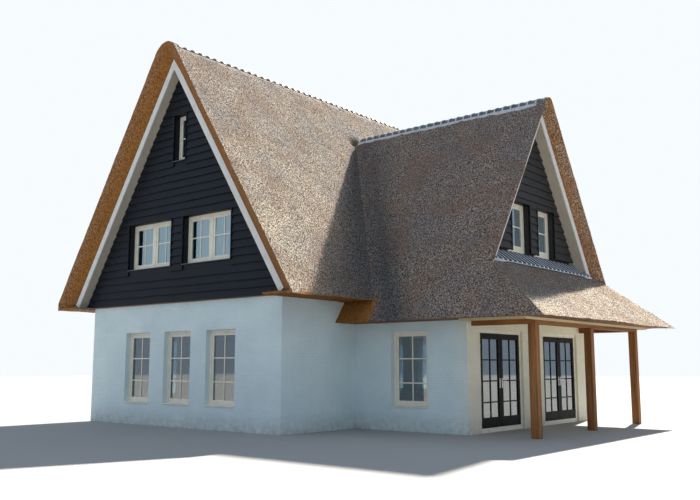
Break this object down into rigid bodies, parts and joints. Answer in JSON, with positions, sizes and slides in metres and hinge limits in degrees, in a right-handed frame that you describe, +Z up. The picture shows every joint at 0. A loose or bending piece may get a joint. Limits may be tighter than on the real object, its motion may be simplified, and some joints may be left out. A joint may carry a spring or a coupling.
{
  "type": "thatched cottage",
  "caption": "Hollow thatched house with a clad gable wing, a lower cross wing, a posted veranda under a thatch skirt and outward French doors.",
  "frame": {"origin": "on the ground at the centre of the whole house's box", "axes": "+X towards the veranda gable, +Y from the entrance-side gable seen in the picture to the back gable, +Z up"},
  "size_m": [13.264, 12.42, 9.575],
  "materials": {
    "painted_brick": "white painted brick",
    "weatherboard": "blue-black stained boards",
    "thatch": "weathered reed",
    "ridge_tile": "smoked clay tiles in light mortar",
    "bargeboard": "light grey-white paint",
    "soffit": "beige-grey boards",
    "window_joinery": "cream paint",
    "door_joinery": "anthracite paint",
    "oak": "untreated oak",
    "concrete": "screed",
    "glass": "clear double glazing",
    "net_curtain": "white net cloth"
  },
  "bodies": {
    "house": {"ground_floor": "concrete", "upper_floor": "concrete", "attic_floor": "concrete", "main_front_wall": "painted_brick", "main_back_wall": "painted_brick", "main_left_wall": "painted_brick", "main_right_wall_front": "painted_brick", "main_right_wall_back": "painted_brick", "wing_front_wall": "painted_brick", "wing_back_wall": "painted_brick", "wing_gable_pier_front": "painted_brick", "wing_gable_pier_middle": "painted_brick", "wing_gable_pier_back": "painted_brick", "wing_gable_lintel": "painted_brick", "main_front_gable": "weatherboard", "main_back_gable": "weatherboard", "wing_gable": "weatherboard", "thatch_main_left": "thatch", "thatch_main_right": "thatch", "thatch_wing_front": "thatch", "thatch_wing_back": "thatch", "thatch_veranda": "thatch", "ridge_tiles_main": "ridge_tile", "ridge_tiles_wing": "ridge_tile", "apron_tiles": "ridge_tile", "bargeboards_main_front": "bargeboard", "bargeboards_main_back": "bargeboard", "bargeboards_wing": "bargeboard", "soffit_main_front": "soffit", "soffit_main_back": "soffit", "soffit_wing": "soffit", "veranda_ceiling": "soffit", "window_front_ground_1": "window_joinery", "window_front_ground_2": "window_joinery", "window_front_ground_3": "window_joinery", "window_front_upper_1": "window_joinery", "window_front_upper_2": "window_joinery", "window_front_attic": "window_joinery", "window_back_attic": "window_joinery", "window_wing_front": "window_joinery", "window_wing_back": "window_joinery", "window_wing_gable_1": "window_joinery", "window_wing_gable_2": "window_joinery", "glazing_back_ground": "glass", "glazing_back_upper": "glass", "glazing_left": "glass", "door_frame_front": "window_joinery", "door_frame_back": "window_joinery", "veranda_post_front": "oak", "veranda_post_middle": "oak", "veranda_post_back": "oak", "veranda_beam_outer": "oak", "veranda_beam_front": "oak", "veranda_beam_back": "oak"},
    "door_front_left_leaf": {"door_front_left": "door_joinery"},
    "door_front_right_leaf": {"door_front_right": "door_joinery"},
    "door_back_left_leaf": {"door_back_left": "door_joinery"},
    "door_back_right_leaf": {"door_back_right": "door_joinery"}
  },
  "joints": [
    {"name": "door_front_left_hinge", "type": "hinge", "parent": "house", "child": "door_front_left_leaf", "pos_m": [4.381, -2.44, 1], "axis": [0, 0, -1], "range_deg": [0, 90]},
    {"name": "door_front_right_hinge", "type": "hinge", "parent": "house", "child": "door_front_right_leaf", "pos_m": [4.381, -0.62, 1], "axis": [0, 0, 1], "range_deg": [0, 90]},
    {"name": "door_back_left_hinge", "type": "hinge", "parent": "house", "child": "door_back_left_leaf", "pos_m": [4.381, 0.62, 1], "axis": [0, 0, -1], "range_deg": [0, 90]},
    {"name": "door_back_right_hinge", "type": "hinge", "parent": "house", "child": "door_back_right_leaf", "pos_m": [4.381, 2.44, 1], "axis": [0, 0, 1], "range_deg": [0, 90]}
  ]
}
